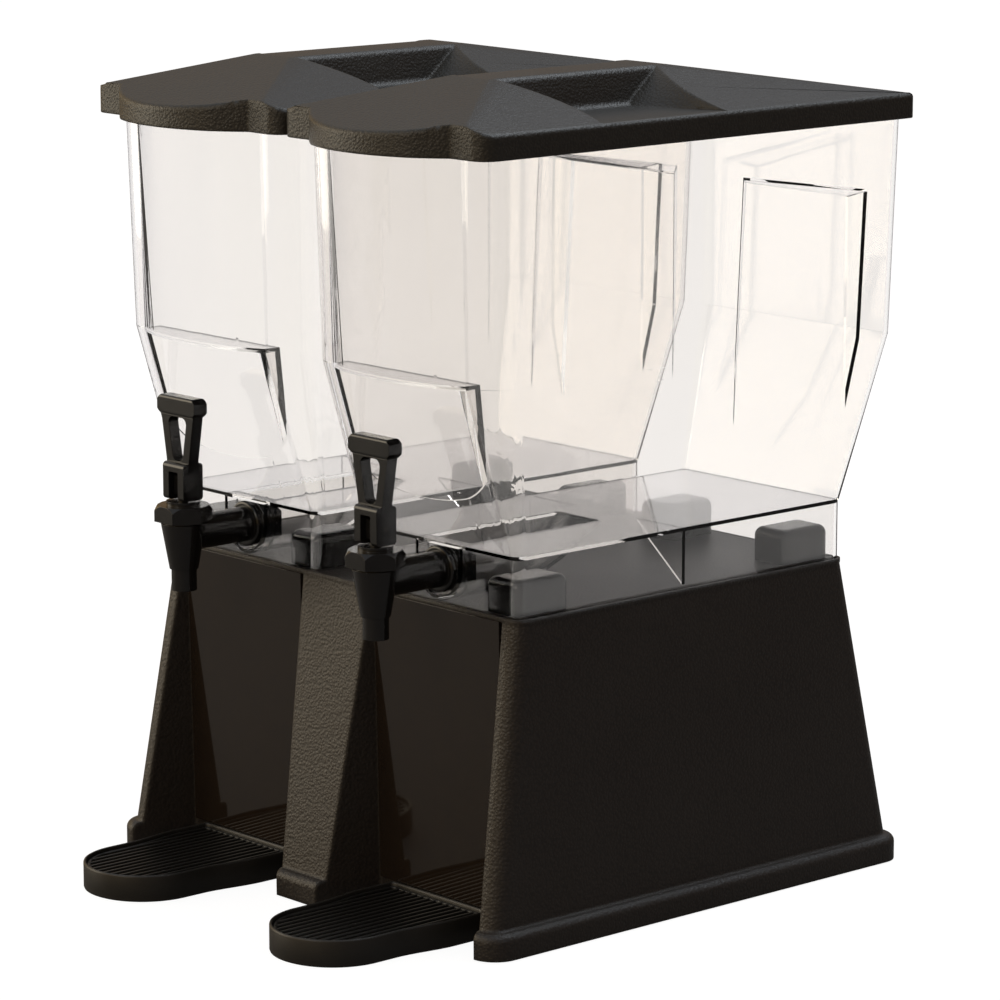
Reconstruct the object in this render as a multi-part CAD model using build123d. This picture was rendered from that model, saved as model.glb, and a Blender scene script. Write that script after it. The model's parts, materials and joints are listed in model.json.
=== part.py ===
from build123d import *
import math
import os

os.makedirs("parts", exist_ok=True)

# Twin beverage dispenser: two clear reservoirs with lids and self-closing faucets on one
# moulded base with two drip trays. X runs to the right seen from the front, Y to the back,
# Z up. Places along Y are measured from the middle of the base; the finished pieces are then
# shifted so that the origin lies on the counter under the middle of the whole object.

# Base
unit_gap = 0.6              # between the two lids
base_height = 235.0         # counter to deck
deck_side_margin = 3.7      # deck beyond the reservoir skirts
deck_front = -166.5
deck_back = 159.5
deck_radius = 12.0
deck_edge = 3.0             # thin plate edge round the deck
deck_edge_step = 0.8
plinth_side_margin = 19.0   # plinth beyond the deck at each side
plinth_depth = 415.0
plinth_height = 20.0
plinth_radius = 20.0
plinth_round = 6.0
plinth_step = 8.0           # plinth stands this far outside the foot of the walls
base_wall = 3.5
base_lift = 1.0             # rim of the base above the counter, taken up by the feet
recess_half = 66.7          # half width of the faucet recess at its panel
recess_flare = 0.35         # widening of the recess per millimetre towards the front
panel_lean = 5.0            # panel foot lies this far behind its head
panel_thickness = 2.5
panel_gap = 0.2
tray_gate_half = 68.0       # half width of the opening in the plinth for the tray
foot_radius = 9.0
foot_inset = 24.0
foot_front = -134.0
foot_plate = 4.0
foot_plate_margin = 3.0
foot_height = 5.0

# Locating blocks on the deck, inside the reservoir skirts
block_length = 48.0
block_width = 34.0
block_height = 25.0
block_round = 7.0
block_gap = 4.0

# Reservoir
wall = 3.0
skirt_taper = 14.0          # skirt narrower than the knee, each side
skirt_margin = 2.0          # skirt stands this far inside the deck's front and back edges
skirt_radius = 8.0
skirt_height = 44.0         # deck to the upper face of the floor
floor_thickness = 3.0
knee_rise = 165.0           # rises are measured from the deck
knee_taper = 4.0            # knee narrower than the rim, each side
knee_front = -200.5
knee_back = 194.5
knee_swell = 14.0
rim_rise = 338.0
rim_inset = 6.0             # rim narrower than the lid, each side
rim_front = -204.5
rim_back = 198.5
rim_swell = 27.0
flange_thickness = 4.0
front_radius = 26.0
back_radius = 10.0
foot_front_radius = 9.0
foot_back_radius = 6.0
swell_reach = 71.0          # half width of the bowed front
swell_shoulder = 49.0       # half width of its flatter middle arc
shoulder_share = 0.62       # how far the shoulder already stands out, of the whole swell
flat_half = 66.0            # flat faucet panel under the ledge
ledge_drop = 2.0            # ledge below the knee
ledge_front = -188.5
flat_foot_rise = 65.0
flat_foot_front = -177.0
inset_depth = 10.0          # side panels pressed in from the rim
inset_front = 33.5
inset_back = 163.5
inset_head_drop_front = 46.5    # head below the rim, slanting down to the back
inset_head_drop_back = 65.0
inset_slant = 13.0          # width of the slanted edge at the head of the inset
inset_foot_rise = 95.0
inset_foot_front = 22.0
sump_radius = 25.0
sump_drop = 18.0            # centre of the round sump below the floor's upper face
sump_front_wall = -154.5
sump_slope_start = -110.0
sump_slope_end = -30.0
sump_end_step = 0.5
gusset_thickness = 3.0
gusset_reach = 52.0

# Lid
lid_half = 108.0
lid_front = -216.5
lid_back = 203.9
lid_swell = 29.0
lid_reach = 74.0
lid_shoulder = 51.0
lid_front_radius = 14.0
lid_back_radius = 6.0
lid_skirt_drop = 14.6       # skirt below the reservoir's rim
lid_plate = 3.0             # thickness over the reservoir's rim
lid_rise = 26.0             # grip bar above the lid's edge
lid_wall = 2.5
lid_gap = 1.0
lid_seat = 6.5              # width of the shoulder that rests on the reservoir flange
bar_half = 21.4
bar_front = -134.1
bar_back = 36.0
front_fall = 0.25           # slope of the front, rise over run
pocket_floor_front = -89.5
pocket_floor_back = -9.5
pocket_rim_front = -107.5
pocket_rim_back = 14.5
pocket_head_front = -130.5
pocket_head_back = 27.5
pocket_wall_lean = 5.0
bar_round = 5.0
pocket_foot_round = 6.0
pocket_undercut = 0.5       # pocket reaches this far past the slope's upper edge

# Drip tray
tray_reach = 99.0           # nose in front of the plinth
tray_half = 46.0
tray_rear_half = 52.0
tray_flare_start = -242.0
tray_flare_end = -192.5
tray_height = 20.0
tray_wall = 2.2
tray_floor = 2.2
tray_foot_round = 1.2
tray_panel_gap = 0.6
grid_gap = 0.5
grid_drop = 2.5             # ribs lie this far below the rim
grid_depth = 4.0
rib_count = 11
rib_width = 3.0
cross_bar_count = 4
grid_post_radius = 2.5

# Faucet
spout_front = -221.5        # spout axis
shank_drop = 2.5            # shank axis below the centre of the sump
tip_drop = 41.5             # drops and rises are measured from the shank's axis
tip_radius = 9.3
tip_length = 16.0
cone_foot_radius = 10.6
cone_head_radius = 16.6
cone_rise = 8.5
outlet_radius = 6.5
chamber_radius = 11.4
seat_drop = 15.5
neck_radius = 15.0
neck_height = 6.0
shank_radius = 13.0
shank_bore = 7.5
thread_radius = 10.9
thread_gap = 0.25
collar_gap = 2.7            # collar inside the round end of the sump's recess
collar_length = 8.5
collar_round = 2.0
collar_groove = 1.2
gasket_thickness = 2.5
gasket_step = 1.3           # gaskets smaller than the collar
inner_gasket_thickness = 2.0
inner_nut_gap = 1.5         # nut's corners inside the trough
inner_nut_length = 8.0
thread_past_nut = 2.0
bonnet_corner_radius = 21.4
bonnet_skirt = 1.5          # bonnet starts this far above the cone
bonnet_height = 12.0
bonnet_collar_radius = 12.5
bonnet_collar_height = 3.0
bonnet_round_off = 2.5      # hexagon's corners cut back at the head
spring_room_gap = 0.6
fit_gap = 0.1
stem_radius = 4.0
stem_flange_radius = 9.5
stem_flange = 2.0
tongue_width = 10.0
tongue_depth = 9.0
tongue_rise = 5.5           # pin to the head of the tongue
tongue_drop = 8.5           # pin to its foot
pin_rise = 38.0
pin_radius = 2.0
pin_gap = 0.05
cup_radius = 10.2
cup_height = 9.0
cup_chamfer = 2.5
cup_floor = 2.0             # rubber under the stem's foot
spring_radius = 7.4
spring_wire = 0.8
spring_turns = 6
fork_width = 24.0
fork_depth = 18.0
fork_drop = 12.0            # pin to heel
fork_round = 3.0
fork_rise = 15.5            # pin to the head of the fork
slot_gap = 0.4
slot_rise = 9.0             # pin to the head of the slot
slot_round = 1.5
handle_depth = 9.0
waist_half = 13.2
arm_head_half = 18.6
grip_half = 21.7
grip_depth = 12.0
grip_height = 14.0
handle_rise = 64.0          # pin to the head of the handle
grip_chamfer = 3.5
grip_round = 2.0
eye_round = 5.0
eye_head_half = 11.2
eye_foot_half = 5.5

nodes = {}
unit_pitch = 2 * lid_half + unit_gap
rim_half = lid_half - rim_inset
knee_half = rim_half - knee_taper
skirt_half = knee_half - skirt_taper
inset_plane = rim_half - inset_depth
deck_width = unit_pitch + 2 * (skirt_half + deck_side_margin)
plinth_width = deck_width + 2 * plinth_side_margin
floor_top = base_height + skirt_height
knee_height = base_height + knee_rise
rim_height = base_height + rim_rise
ledge_height = knee_height - ledge_drop
flat_foot_height = base_height + flat_foot_rise
inset_head_front = rim_height - inset_head_drop_front
inset_head_back = rim_height - inset_head_drop_back
inset_foot = base_height + inset_foot_rise
sump_height = floor_top - sump_drop
lid_skirt_foot = rim_height - lid_skirt_drop
lid_rim_top = rim_height + lid_plate
lid_top = lid_rim_top + lid_rise
shank_height = sump_height - shank_drop
collar_radius = sump_radius - wall - shank_drop - collar_gap
gasket_radius = collar_radius - gasket_step
inner_nut_radius = sump_radius - wall - shank_drop - inner_nut_gap
tip_foot = shank_height - tip_drop
cone_head = shank_height + cone_rise
seat_height = shank_height - seat_drop
pin_height = shank_height + pin_rise
fork_head = pin_height + fork_rise
handle_top = pin_height + handle_rise
base_shift = tray_reach / 2
plinth_front = -plinth_depth / 2
wall_front = plinth_front + plinth_step
wall_back = -wall_front
deck_middle = (deck_front + deck_back) / 2
unit_middle = unit_pitch / 2


def at(x, y, z, shape):
    return Pos(x, y, z) * shape


def box_between(low, high):
    size = [b - a for a, b in zip(low, high)]
    middle = [(a + b) / 2 for a, b in zip(low, high)]
    return at(*middle, Box(*size))


def prism(face_points, direction, length):
    # A closed polygon pushed along a direction.
    outline_face = make_face(Polyline(*face_points, close=True))
    return extrude(outline_face, amount=length, dir=direction)


def round_rect(z, half, front, back, radius):
    depth = back - front
    return at(0, (front + back) / 2, z, RectangleRounded(2 * half, depth, radius))


def corner(x, y, turn_x, turn_y, radius):
    # Quarter turn of a plan outline, from the Y-going side to the X-going side.
    share = radius * (1 - math.sqrt(0.5))
    start = (x, y - turn_y * radius)
    end = (x - turn_x * radius, y)
    return start, (x - turn_x * share, y - turn_y * share), end


def bowed_plan(z, half, front, back, radii, swell, reach, shoulder):
    # Plan of reservoir and lid: straight back and sides, front bowed between two corners.
    front_r, back_r = radii
    ledge = front - swell * shoulder_share
    mid_x = (reach + shoulder) / 2 + 0.6
    mid_y = (front + ledge) / 2 - 0.6 * swell / lid_swell
    right_back = corner(half, back, 1, 1, back_r)
    left_back = corner(-half, back, -1, 1, back_r)
    left_front = corner(-half, front, -1, -1, front_r)
    right_front = corner(half, front, 1, -1, front_r)
    edges = [
        Line(right_back[2], left_back[2]),
        ThreePointArc(*reversed(left_back)),
        Line(left_back[0], left_front[0]),
        ThreePointArc(*left_front),
        Line(left_front[2], (-reach, front)),
        ThreePointArc((-reach, front), (-mid_x, mid_y), (-shoulder, ledge)),
        ThreePointArc((-shoulder, ledge), (0, front - swell), (shoulder, ledge)),
        ThreePointArc((shoulder, ledge), (mid_x, mid_y), (reach, front)),
        Line((reach, front), right_front[2]),
        ThreePointArc(*reversed(right_front)),
        Line(right_front[0], right_back[0]),
        ThreePointArc(*right_back),
    ]
    return at(0, 0, z, make_face(edges))


def tank_plan(level, inset, z=None):
    # The reservoir's plan at its foot, knee or rim, moved inwards by a wall.
    half, front, back, swell, front_r, back_r, height = {
        "foot": (skirt_half, deck_front + skirt_margin, deck_back - skirt_margin, 0.4,
                 foot_front_radius, foot_back_radius, floor_top),
        "knee": (knee_half, knee_front, knee_back, knee_swell, front_radius, back_radius,
                 knee_height),
        "rim": (rim_half, rim_front, rim_back, rim_swell, front_radius, back_radius,
                rim_height),
    }[level]
    radii = (front_r - inset, back_r - inset)
    height = height if z is None else z
    return bowed_plan(height, half - inset, front + inset, back - inset, radii, swell,
                      swell_reach - inset / 2, swell_shoulder)


def lid_plan(z, inset):
    radii = (max(lid_front_radius - inset, 2), max(lid_back_radius - inset, 1))
    return bowed_plan(z, lid_half - inset, lid_front + inset, lid_back - inset, radii,
                      lid_swell, lid_reach - inset / 2, lid_shoulder)


def panel_y(z):
    return deck_front + panel_lean * (base_height - z) / base_height


def recess_block(grow, low, high):
    # Solid filling a faucet recess, grown by a wall on its back and sides.
    sections = []
    for z in (low, high):
        rear = panel_y(z) + grow
        run = rear - plinth_front + 60
        near = recess_half + grow
        far = near + recess_flare * run
        points = [(-near, rear, z), (near, rear, z), (far, rear - run, z),
                  (-far, rear - run, z)]
        sections.append(make_face(Polyline(*points, close=True)))
    return loft(sections, ruled=True)


def base_walls(inset, low, high):
    # Tapered hopper between the foot line and the deck, moved inwards by a wall.
    foot = (plinth_width / 2 - plinth_step, wall_front, wall_back, plinth_height)
    head = (deck_width / 2 - deck_edge_step, deck_front + deck_edge_step,
            deck_back - deck_edge_step, base_height)
    sections = []
    for z in (low, high):
        share = (z - foot[3]) / (head[3] - foot[3])
        half, front, back = [a + (b - a) * share for a, b in zip(foot[:3], head[:3])]
        sections.append(round_rect(z, half - inset, front + inset, back - inset,
                                   deck_radius - inset))
    return loft(sections, ruled=True)


def make_base():
    plinth = extrude(round_rect(base_lift, plinth_width / 2, plinth_front, -plinth_front,
                                plinth_radius), amount=plinth_height - base_lift)
    plinth = fillet(plinth.faces().sort_by(Axis.Z)[-1].edges(), plinth_round)
    hopper = base_walls(0, plinth_height - plinth_round, base_height - deck_edge)
    deck = extrude(round_rect(base_height - deck_edge, deck_width / 2, deck_front, deck_back,
                              deck_radius), amount=deck_edge)
    shell = plinth + hopper + deck
    hollow = base_walls(base_wall, base_lift - 1, base_height - base_wall)
    clear = panel_thickness + panel_gap
    for side in (-1, 1):
        middle = side * unit_middle
        gate = box_between((middle - tray_gate_half, plinth_front - 1, base_lift - 1),
                           (middle + tray_gate_half, deck_front, plinth_height + 1))
        below_deck = base_height - deck_edge
        shell -= at(middle, 0, 0, recess_block(clear, base_lift - 1, below_deck))
        shell -= gate
        hollow -= at(middle, 0, 0, recess_block(clear + base_wall, base_lift - 2,
                                                base_height))
        hollow -= Pos(0, base_wall, 0) * box_between(
            (middle - tray_gate_half - base_wall, plinth_front - 1, base_lift - 1),
            (middle + tray_gate_half + base_wall, deck_front, plinth_height + base_wall))
    shell -= hollow
    for foot_x, foot_y in foot_places():
        # Shelf above the foot, tied to the side wall.
        wall_x = math.copysign(plinth_width / 2 - plinth_step, foot_x)
        near_x = foot_x - math.copysign(foot_radius + foot_plate_margin, foot_x)
        half = foot_radius + foot_plate_margin
        shell += box_between((min(wall_x, near_x), foot_y - half, foot_height),
                             (max(wall_x, near_x), foot_y + half, foot_height + foot_plate))
    return shell


def foot_places():
    x = plinth_width / 2 - plinth_step - foot_inset
    back = wall_back - foot_inset
    return [(-x, foot_front), (x, foot_front), (-x, back), (x, back)]


def make_feet():
    return Compound([at(x, y, foot_height / 2, Cylinder(foot_radius, foot_height))
                     for x, y in foot_places()])


def make_panel():
    # Polished plate filling the back of a recess between its side walls.
    low = plinth_height
    high = base_height - deck_edge - panel_gap
    front = recess_block(0, low, high)
    rear = recess_block(panel_thickness, low, high)
    sides = box_between((-recess_half, plinth_front, low), (recess_half, deck_back, high))
    return (rear & sides) - front


def make_blocks():
    blocks = []
    inner = skirt_half - wall - block_gap
    front = deck_front + skirt_margin + wall + block_gap
    back = deck_back - skirt_margin - wall - block_gap
    for x_side in (-1, 1):
        for low_y in (front, back - block_length):
            near = x_side * inner
            far = x_side * (inner - block_width)
            block = box_between((min(near, far), low_y, base_height),
                                (max(near, far), low_y + block_length,
                                 base_height + block_height))
            block = fillet(block.edges().filter_by(Axis.Z), block_round)
            block = fillet(block.faces().sort_by(Axis.Z)[-1].edges(), block_round - 0.5)
            blocks.append(block)
    return Compound(blocks)


def flat_cut(grow):
    # Space in front of the flat faucet panel, under the ledge.
    points = [(-flat_half - grow, ledge_front + grow, ledge_height + grow),
              (-flat_half - grow, flat_foot_front + grow, flat_foot_height),
              (-flat_half - grow, deck_front - 150, flat_foot_height),
              (-flat_half - grow, deck_front - 150, ledge_height + grow)]
    return prism(points, (1, 0, 0), 2 * (flat_half + grow))


def inset_cut(grow):
    # Space outside one pressed-in side panel; its upper edges are slanted.
    depth = rim_half - inset_plane
    sections = []
    for out in (-grow, depth + wall):
        widen = inset_slant * (out / depth - 1)
        head = widen / 3
        points = [(inset_plane + out, inset_front - widen - grow, inset_head_front + head + grow),
                  (inset_plane + out, inset_back + widen + grow, inset_head_back + head + grow),
                  (inset_plane + out, inset_back + widen + grow, inset_foot),
                  (inset_plane + out, inset_foot_front - widen - grow, inset_foot)]
        sections.append(make_face(Polyline(*points, close=True)))
    cut = loft(sections, ruled=True)
    return [cut, mirror(cut, about=Plane.YZ)]


def sump(radius, front, rise):
    # Trough that leads along the floor down to the faucet, round underneath.
    length = sump_slope_end - front
    tube = at(0, front + length / 2, sump_height, Rot(90, 0, 0) * Cylinder(radius, length))
    upper = box_between((-radius, front, sump_height), (radius, sump_slope_end, floor_top))
    foot = sump_height - radius
    points = [(-radius, front, floor_top), (-radius, front, foot),
              (-radius, sump_slope_start, foot), (-radius, sump_slope_end, floor_top - rise),
              (-radius, sump_slope_end, floor_top)]
    return (tube + upper) & prism(points, (1, 0, 0), 2 * radius)


def make_reservoir():
    skirt_front = deck_front + skirt_margin
    skirt_back = deck_back - skirt_margin
    skirt = extrude(round_rect(base_height, skirt_half, skirt_front, skirt_back,
                               skirt_radius), amount=floor_top - base_height)
    under = extrude(round_rect(base_height - 1, skirt_half - wall, skirt_front + wall,
                               skirt_back - wall, skirt_radius - wall),
                    amount=floor_top - floor_thickness - base_height + 1)
    outer = loft([tank_plan("foot", 0), tank_plan("knee", 0)], ruled=True)
    outer += loft([tank_plan("knee", 0), tank_plan("rim", 0)], ruled=True)
    inner = loft([tank_plan("foot", wall), tank_plan("knee", wall)], ruled=True)
    inner += loft([tank_plan("knee", wall), tank_plan("rim", wall, rim_height + 1)],
                  ruled=True)
    for cut, grown in zip(inset_cut(0), inset_cut(wall)):
        outer -= cut
        inner -= grown
    outer -= flat_cut(0)
    inner -= flat_cut(wall)
    flange = extrude(lid_plan(rim_height - flange_thickness, lid_wall + lid_gap),
                     amount=flange_thickness)
    pocket = sump(sump_radius - wall, skirt_front - 1, wall) & box_between(
        (-sump_radius, skirt_front - 1, base_height),
        (sump_radius, sump_front_wall, floor_top - floor_thickness))
    trough = sump(sump_radius - wall, sump_front_wall + wall, sump_end_step)
    tank = (skirt - under) + outer + flange + sump(sump_radius, skirt_front, floor_thickness)
    for side in (-1, 1):
        near = side * (skirt_half - wall / 2)
        points = [(near, deck_middle, floor_top - 1), (near, deck_middle, base_height + 1),
                  (near - side * gusset_reach, deck_middle, floor_top - 1)]
        tank += Pos(0, -gusset_thickness / 2, 0) * prism(points, (0, 1, 0), gusset_thickness)
    tank = tank - inner - pocket - trough
    hole = Rot(90, 0, 0) * Cylinder(thread_radius + thread_gap, 4 * wall)
    return tank - at(0, sump_front_wall + wall / 2, shank_height, hole)


def pyramid(drop):
    # Roof of the lid: four planes that rise to the grip bar.
    side_fall = (lid_top - lid_rim_top) / (lid_half - bar_half)
    back_fall = (lid_top - lid_rim_top) / (lid_back - bar_back)
    depth = 100.0
    top = lid_top - drop
    sections = []
    for down in (depth, 0):
        half = bar_half + down / side_fall
        front = bar_front - down / front_fall
        back = bar_back + down / back_fall
        points = [(-half, front, top - down), (half, front, top - down),
                  (half, back, top - down), (-half, back, top - down)]
        sections.append(make_face(Polyline(*points, close=True)))
    return loft(sections, ruled=True)


def finger_pocket(side, grow):
    # Recess beside the grip bar: flat floor at rim level, leaning ends.
    inner_floor = bar_half + pocket_wall_lean - grow
    inner_head = bar_half - pocket_undercut - grow
    outer = lid_half + 5
    rows = [(lid_rim_top - grow, inner_floor, pocket_floor_front - grow,
             pocket_floor_back + grow),
            (lid_top + 1, inner_head, pocket_head_front - grow, pocket_head_back + grow)]
    sections = []
    for z, near, front, back in rows:
        points = [(side * near, front, z), (side * near, back, z),
                  (side * outer, pocket_rim_back + grow, z),
                  (side * outer, pocket_rim_front - grow, z)]
        sections.append(make_face(Polyline(*points, close=True)))
    return loft(sections, ruled=True)


def make_lid():
    rise = lid_top - lid_skirt_foot
    shell = extrude(lid_plan(lid_skirt_foot, 0), amount=rise) & pyramid(0)
    seat = rim_height
    hollow = extrude(lid_plan(seat - 1, lid_wall + lid_seat), amount=rise) & pyramid(lid_wall)
    for side in (-1, 1):
        shell -= finger_pocket(side, 0)
        hollow -= finger_pocket(side, lid_wall)
    top_edges = shell.edges().filter_by(lambda edge: abs(edge.center().Z - lid_top) < fit_gap)
    long_edges = [edge for edge in top_edges if edge.length > 2 * bar_half + fit_gap]
    shell = fillet(long_edges, bar_round)
    foot_edges = shell.edges().filter_by(
        lambda edge: abs(edge.center().Z - lid_rim_top) < fit_gap
        and abs(abs(edge.center().X) - bar_half - pocket_wall_lean) < 1)
    shell = fillet(foot_edges, pocket_foot_round)
    skirt = extrude(lid_plan(lid_skirt_foot - 1, lid_wall), amount=seat - lid_skirt_foot + 1)
    return shell - hollow - skirt


def tray_plan(z, inset, rear):
    # Round nose, straight sides, gentle flare to the rear.
    half = tray_half - inset
    rear_half = tray_rear_half - inset
    nose = plinth_front - tray_reach + tray_half
    middle = (tray_flare_start + tray_flare_end) / 2
    edges = [
        Line((-rear_half, rear), (-rear_half, tray_flare_end)),
        Bezier((-rear_half, tray_flare_end), (-rear_half, middle), (-half, middle),
               (-half, tray_flare_start)),
        Line((-half, tray_flare_start), (-half, nose)),
        ThreePointArc((-half, nose), (0, nose - half), (half, nose)),
        Line((half, nose), (half, tray_flare_start)),
        Bezier((half, tray_flare_start), (half, middle), (rear_half, middle),
               (rear_half, tray_flare_end)),
        Line((rear_half, tray_flare_end), (rear_half, rear)),
        Line((rear_half, rear), (-rear_half, rear)),
    ]
    return at(0, 0, z, make_face(edges))


def make_tray():
    rear = panel_y(tray_height) - tray_panel_gap
    tray = extrude(tray_plan(0, 0, rear), amount=tray_height)
    tray = fillet(tray.faces().sort_by(Axis.Z)[0].edges(), tray_foot_round)
    return tray - extrude(tray_plan(tray_floor, tray_wall, rear - tray_wall),
                          amount=tray_height)


def make_grid():
    top = tray_height - grid_drop
    inset = tray_wall + grid_gap
    rear = panel_y(tray_height) - tray_panel_gap - inset
    frame = extrude(tray_plan(top - grid_depth, inset, rear), amount=grid_depth)
    opening = extrude(tray_plan(top - grid_depth - 1, inset + rib_width, rear - rib_width),
                      amount=grid_depth + 2)
    nose = plinth_front - tray_reach
    width = 2 * (tray_rear_half - inset)
    pitch = 2 * (tray_half - inset - rib_width) / (rib_count + 1)
    bars = []
    for index in range(-(rib_count // 2) - 1, rib_count // 2 + 2):
        bars.append(box_between((index * pitch - rib_width / 2, nose, top - grid_depth),
                                (index * pitch + rib_width / 2, rear, top)))
    run = rear - nose
    for index in range(cross_bar_count):
        y = nose + run * (index + 0.8) / cross_bar_count
        bars.append(box_between((-width / 2, y - rib_width / 2, top - grid_depth),
                                (width / 2, y + rib_width / 2, top - grid_depth / 2)))
    grid = frame - opening
    solid = extrude(tray_plan(top - grid_depth, inset, rear), amount=grid_depth)
    for bar in bars:
        grid += bar & solid
    post = top - grid_depth / 2 - tray_floor
    for index in (0, cross_bar_count - 1):
        y = nose + run * (index + 0.8) / cross_bar_count
        for x in (-3 * pitch, 3 * pitch):
            grid += at(x, y, tray_floor + post / 2, Cylinder(grid_post_radius, post))
    return grid


def shank_rod(radius, start, end):
    return at(0, (start + end) / 2, shank_height,
              Rot(90, 0, 0) * Cylinder(radius, end - start))


def upright(radius, low, high):
    return at(0, spout_front, (low + high) / 2, Cylinder(radius, high - low))


def make_faucet_body():
    cone_foot = tip_foot + tip_length
    cone = at(0, spout_front, (cone_foot + cone_head) / 2,
              Cone(cone_foot_radius, cone_head_radius, cone_head - cone_foot))
    wall_side = sump_front_wall - gasket_thickness
    thread_end = (sump_front_wall + wall + inner_gasket_thickness + inner_nut_length
                  + thread_past_nut)
    collar = shank_rod(collar_radius, wall_side - collar_length, wall_side)
    collar = fillet(collar.edges().filter_by(GeomType.CIRCLE), collar_round)
    groove = (shank_rod(collar_radius + 1, wall_side - collar_length / 2 - collar_groove / 2,
                        wall_side - collar_length / 2 + collar_groove / 2)
              - shank_rod(collar_radius - collar_groove, wall_side - collar_length,
                          wall_side))
    body = cone + upright(tip_radius, tip_foot, cone_foot + 1)
    body += upright(neck_radius, cone_head - 1, cone_head + neck_height)
    body += shank_rod(shank_radius, spout_front, wall_side - 1)
    body += collar - groove
    body += shank_rod(thread_radius, wall_side - 1, thread_end)
    body -= upright(outlet_radius, tip_foot - 1, seat_height + 1)
    body -= upright(chamber_radius, seat_height, cone_head + neck_height + 1)
    bonnet_room = upright(bonnet_corner_radius + 1, cone_head + bonnet_skirt - fit_gap,
                          handle_top)
    body -= bonnet_room - upright(neck_radius, cone_head, handle_top)
    return body - shank_rod(shank_bore, spout_front, thread_end + 1)


def bonnet_foot():
    return cone_head + bonnet_skirt


def bonnet_top():
    return bonnet_foot() + bonnet_height + bonnet_collar_height


def make_bonnet():
    foot = bonnet_foot()
    head = foot + bonnet_height
    hexagon = at(0, spout_front, foot, RegularPolygon(bonnet_corner_radius, 6))
    nut = extrude(hexagon, amount=bonnet_height)
    round_off = at(0, spout_front, head - bonnet_height / 2,
                   Cone(bonnet_corner_radius + 5, bonnet_corner_radius - bonnet_round_off,
                        bonnet_height))
    nut &= round_off
    nut += upright(bonnet_collar_radius, head - 1, bonnet_top())
    bore = upright(neck_radius + fit_gap, foot - 1, cone_head + neck_height + fit_gap)
    spring_room = upright(stem_flange_radius + spring_room_gap, foot, head)
    return nut - bore - spring_room - upright(stem_radius + fit_gap, foot, head + 20)


def make_stem():
    flange_foot = seat_height + cup_height
    stem = upright(stem_radius, seat_height + cup_floor, pin_height - fork_drop / 2)
    stem += upright(stem_flange_radius, flange_foot, flange_foot + stem_flange)
    tongue = box_between(
        (-tongue_width / 2, spout_front - tongue_depth / 2, pin_height - tongue_drop),
        (tongue_width / 2, spout_front + tongue_depth / 2, pin_height + tongue_rise))
    neck_cut = tongue & box_between((-50, spout_front - 50, bonnet_top() + 1),
                                    (50, spout_front + 50, handle_top))
    stem += neck_cut
    hole = at(0, spout_front, pin_height,
              Rot(0, 90, 0) * Cylinder(pin_radius + pin_gap, 4 * tongue_width))
    return stem - hole


def make_cup():
    cup = upright(cup_radius, seat_height, seat_height + cup_height)
    cup = chamfer(cup.edges().filter_by(GeomType.CIRCLE).sort_by(Axis.Z)[0], cup_chamfer)
    return cup - upright(stem_radius, seat_height + cup_floor, seat_height + cup_height + 1)


def make_spring():
    low = seat_height + cup_height + stem_flange + spring_wire
    high = bonnet_foot() + bonnet_height - spring_wire - fit_gap
    rise = high - low
    helix = Helix(pitch=rise / spring_turns, height=rise, radius=spring_radius,
                  center=(0, spout_front, low))
    section = Plane(origin=helix @ 0, z_dir=helix % 0) * Circle(spring_wire)
    return sweep(section, path=helix)


def handle_outline():
    heel = pin_height - fork_drop
    grip_foot = handle_top - grip_height
    fork_half = fork_width / 2
    half = [(fork_half, heel), (fork_half, fork_head - 6), (waist_half, fork_head + 3),
            (arm_head_half, grip_foot)]
    points = half + [(-x, z) for x, z in reversed(half)]
    return [(x, 0, z) for x, z in points]


def make_handle():
    heel = pin_height - fork_drop
    grip_foot = handle_top - grip_height
    frame = prism(handle_outline(), (0, 1, 0), handle_depth)
    frame = Pos(0, spout_front - handle_depth / 2, 0) * frame
    fork = box_between((-fork_width / 2, spout_front - fork_depth / 2, heel),
                       (fork_width / 2, spout_front + fork_depth / 2, fork_head))
    fork = fillet(fork.edges().filter_by(Axis.X), fork_round)
    grip = box_between((-grip_half, spout_front - grip_depth / 2, grip_foot),
                       (grip_half, spout_front + grip_depth / 2, handle_top))
    grip = chamfer(grip.edges().filter_by(Axis.Y), grip_chamfer)
    grip = fillet(grip.edges().filter_by(Axis.X), grip_round)
    eye_head = grip_foot - 1
    eye_foot = fork_head + 1
    eye_points = [(-eye_head_half, 0, eye_head), (eye_head_half, 0, eye_head),
                  (eye_foot_half, 0, eye_foot), (-eye_foot_half, 0, eye_foot)]
    eye = prism(eye_points, (0, 1, 0), 3 * grip_depth)
    eye = fillet(eye.edges().filter_by(Axis.Y), eye_round)
    slot_half = tongue_width / 2 + slot_gap
    slot = box_between((-slot_half, spout_front - fork_depth, heel - 1),
                       (slot_half, spout_front + fork_depth, pin_height + slot_rise))
    slot = fillet(slot.edges().filter_by(Axis.Y).sort_by(Axis.Z)[-2:], slot_round)
    handle = frame + fork + grip
    handle -= Pos(0, spout_front - 1.5 * grip_depth, 0) * eye
    handle -= slot
    hole = at(0, spout_front, pin_height,
              Rot(0, 90, 0) * Cylinder(pin_radius, 2 * fork_width))
    return handle - hole


def make_pin():
    return at(0, spout_front, pin_height, Rot(0, 90, 0) * Cylinder(pin_radius, fork_width))


def ring(start, length, outer, inner):
    return shank_rod(outer, start, start + length) - shank_rod(inner, start - 1,
                                                                start + length + 1)


def make_inner_nut():
    start = sump_front_wall + wall + inner_gasket_thickness
    hexagon = RegularPolygon(inner_nut_radius, 6)
    nut = extrude(Plane(origin=(0, start, shank_height), z_dir=(0, 1, 0)) * hexagon,
                  amount=inner_nut_length)
    return nut - shank_rod(thread_radius, start - 1, start + inner_nut_length + 1)


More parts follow.
